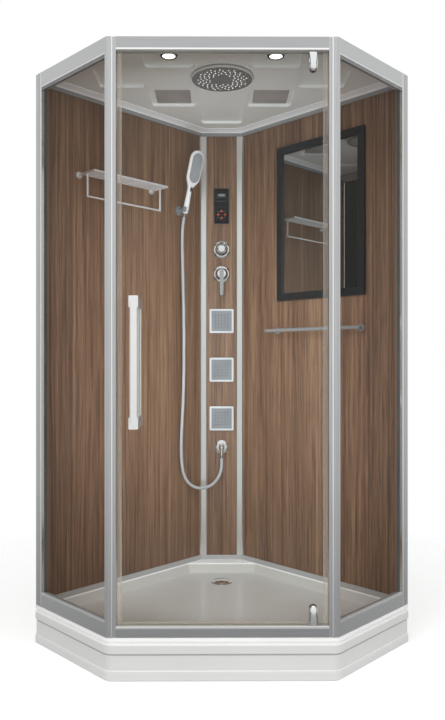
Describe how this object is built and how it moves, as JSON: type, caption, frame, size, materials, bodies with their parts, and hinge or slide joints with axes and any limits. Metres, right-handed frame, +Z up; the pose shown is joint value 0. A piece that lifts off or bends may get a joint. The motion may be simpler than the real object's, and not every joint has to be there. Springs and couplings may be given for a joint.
{
  "type": "shower cabin",
  "caption": "Five-sided corner shower cabin: low tray, aluminium frame, pivot glass door, walnut decor walls, service tower with mixer and jets, and a roof with rain head.",
  "frame": {"origin": "bottom centre of the bounding box, on the floor under the feet", "axes": "+Z up; +Y from the door towards the room corner; +X to the right seen from outside the door"},
  "size_m": [1.4142, 1.0328, 2.179],
  "materials": {
    "acrylic_white": "glossy sanitary acrylic",
    "roof_acrylic": "glossy thermoformed acrylic",
    "frame_aluminium": "satin anodised extrusion",
    "post_aluminium": "satin anodised extrusion",
    "decor_walnut": "satin walnut decor laminate, vertical grain",
    "clear_glass": "clear tempered glass",
    "chrome": "polished chrome",
    "satin_chrome": "satin chrome",
    "mirror_silver": "silvered glass",
    "black_frame": "black anodised, semi-matt",
    "black_gloss": "gloss black",
    "black_glass": "back-painted glass",
    "gasket_black": "soft black gasket",
    "seal_clear": "translucent soft PVC",
    "key_black": "matt key top",
    "spray_grey": "grey spray plate with soft nozzles",
    "handset_white": "gloss white ABS",
    "rain_plate": "dark polished plate",
    "lamp_lens": "opal lens",
    "cover_grey": "smoked gloss cover",
    "frame_steel": "powder coated steel",
    "foot_steel": "zinc plated screw feet with nuts",
    "trap_plastic": "chromed drain ring and trap",
    "hose_silver": "silver satin PVC hose",
    "pipe_brass": "brass pipe and valve body",
    "valve_chrome": "chromed brass"
  },
  "bodies": {
    "cabin": {"tray": "acrylic_white", "apron": "acrylic_white", "base_frame": "frame_steel", "levelling_feet": "foot_steel", "drain_trap": "trap_plastic", "left_wall_panel": "decor_walnut", "right_wall_panel": "decor_walnut", "tower_panel": "decor_walnut", "left_wall_post": "frame_aluminium", "right_wall_post": "frame_aluminium", "tower_profiles": "frame_aluminium", "wall_rails": "frame_aluminium", "threshold_rail": "frame_aluminium", "front_header": "frame_aluminium", "side_bottom_rails": "frame_aluminium", "side_top_rails": "frame_aluminium", "left_front_post": "post_aluminium", "right_front_post": "post_aluminium", "left_side_glass": "clear_glass", "right_side_glass": "clear_glass", "glass_gaskets": "gasket_black", "pivot_pins": "foot_steel", "jamb_strips": "seal_clear", "roof": "roof_acrylic", "rain_head": "rain_plate", "spot_rings": "chrome", "spot_lenses": "lamp_lens", "ceiling_covers": "cover_grey", "shelf": "satin_chrome", "mirror_frame": "black_frame", "mirror_glass": "mirror_silver", "towel_bar": "satin_chrome", "shower_holder": "chrome", "hose": "hose_silver", "outlet_hose_nut": "chrome", "outlet_elbow": "valve_chrome", "jet_frames": "valve_chrome", "jet_plates": "spray_grey", "mixer_body": "valve_chrome", "diverter_body": "valve_chrome", "control_housing": "black_gloss", "control_glass": "black_glass", "water_pipes": "pipe_brass"},
    "door": {"door_glass": "clear_glass", "outer_handle": "satin_chrome", "inner_handle": "satin_chrome", "handle_screws": "foot_steel", "pivot_clamps": "chrome", "door_seals": "seal_clear", "bottom_sweep": "seal_clear"},
    "mixer": {"mixer_cap": "chrome"},
    "lever": {"mixer_lever": "satin_chrome"},
    "diverter": {"diverter_knob": "chrome"},
    "handset": {"handset": "handset_white", "spray_plate": "spray_grey", "handset_hose_nut": "chrome"},
    "spray_button": {"spray_button": "key_black"},
    "drain_cover": {"drain_cover": "chrome"},
    "ring_key": {"ring_key": "key_black"}
  },
  "joints": [
    {"name": "door_swing", "type": "hinge", "parent": "cabin", "child": "door", "pos_m": [0.30491, -0.4464, 1.15], "axis": [0, 0, 1], "range_deg": [0, 100]},
    {"name": "mixer_turn", "type": "hinge", "parent": "cabin", "child": "mixer", "pos_m": [0, 0.4314, 1.475], "axis": [0, -1, 0], "range_deg": [-45, 45]},
    {"name": "lever_lift", "type": "hinge", "parent": "mixer", "child": "lever", "pos_m": [0, 0.4184, 1.485], "axis": [-1, 0, 0], "range_deg": [0, 20]},
    {"name": "diverter_turn", "type": "hinge", "parent": "cabin", "child": "diverter", "pos_m": [0, 0.4314, 1.589], "axis": [0, -1, 0], "range_deg": [-90, 90]},
    {"name": "handset_lift", "type": "slide", "parent": "cabin", "child": "handset", "axis": [0.2067, -0.2067, 0.9563], "range_m": [0, 0.12], "deforming": ["hose"]},
    {"name": "spray_button_press", "type": "slide", "parent": "handset", "child": "spray_button", "axis": [-0.6762, 0.6762, 0.2924], "range_m": [0, 0.0012], "stiffness_N_per_m": 600},
    {"name": "drain_cover_lift", "type": "slide", "parent": "cabin", "child": "drain_cover", "axis": [0, 0, 1], "range_m": [0, 0.06]},
    {"name": "ring_key_press", "type": "slide", "parent": "cabin", "child": "ring_key", "axis": [0, 1, 0], "range_m": [0, 0.0006], "stiffness_N_per_m": 800}
  ]
}
